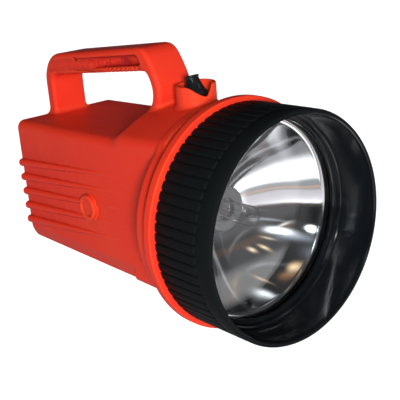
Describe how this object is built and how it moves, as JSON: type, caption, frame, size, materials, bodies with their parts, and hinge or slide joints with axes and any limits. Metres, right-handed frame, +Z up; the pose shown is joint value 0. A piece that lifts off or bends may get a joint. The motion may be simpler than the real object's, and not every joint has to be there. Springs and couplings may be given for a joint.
{
  "type": "hand lantern",
  "caption": "Orange hand lantern with a square battery box, loop handle, guarded toggle and a black screw-on lens ring.",
  "frame": {"origin": "middle of the footprint, on the ground the lantern stands on with its flange and the rear edge of its box", "axes": "+Y from the lens towards the rear wall, along the length; +Z up; +X to the side"},
  "size_m": [0.1246, 0.2206, 0.1375],
  "materials": {
    "orange_plastic": "satin moulded",
    "black_plastic": "semi-gloss moulded",
    "black_rubber": "smooth",
    "clear_plastic": "clear",
    "bulb_glass": "clear",
    "mirror": "vacuum silvered",
    "pale_plastic": "satin",
    "plated_steel": "nickel plated",
    "brass": "stamped",
    "fibre_board": "matte",
    "foam": "open foam",
    "battery_jacket": "printed card",
    "red_insulation": "satin",
    "black_insulation": "satin"
  },
  "bodies": {
    "body": {"housing": "orange_plastic", "collar_oring": "black_rubber", "reflector": "mirror", "bulb_glass": "bulb_glass", "bulb_base": "brass", "bulb_filament": "plated_steel", "bulb_retainer": "pale_plastic", "bulb_socket": "pale_plastic", "socket_sleeve": "brass", "socket_spring": "plated_steel", "contact_plate": "fibre_board", "contact_positive": "brass", "contact_negative": "brass", "rivet_1": "brass", "rivet_2": "brass", "rivet_3": "brass", "rivet_4": "brass", "battery_case": "battery_jacket", "battery_cap": "black_plastic", "battery_spring_positive": "plated_steel", "battery_spring_negative": "plated_steel", "battery_pad": "foam", "switch_body": "black_plastic", "switch_terminal_1": "brass", "switch_terminal_2": "brass", "switch_bushing": "plated_steel", "boot_nut": "black_plastic", "lead_lamp": "red_insulation", "lead_battery": "black_insulation"},
    "lens_carrier": {"lens": "clear_plastic", "lens_gasket": "black_rubber"},
    "ring": {"lens_ring": "black_plastic"},
    "toggle": {"toggle_lever": "plated_steel", "switch_boot": "black_rubber"}
  },
  "joints": [
    {"name": "lens_lift", "type": "slide", "parent": "body", "child": "lens_carrier", "axis": [0, -0.9887, 0.1502], "range_m": [0, 0.0071]},
    {"name": "ring_screw", "type": "hinge", "parent": "lens_carrier", "child": "ring", "pos_m": [0, -0.10155, 0.06835], "axis": [0, -0.9887, 0.1502], "range_deg": [0, 630]},
    {"name": "toggle_tip", "type": "hinge", "parent": "body", "child": "toggle", "pos_m": [0, -0.02227, 0.11548], "axis": [1, 0, 0], "range_deg": [0, 26]}
  ],
  "couplings": [
    {"joint": "lens_lift", "follows": "ring_screw", "m_per_rad": 0.00063662}
  ]
}
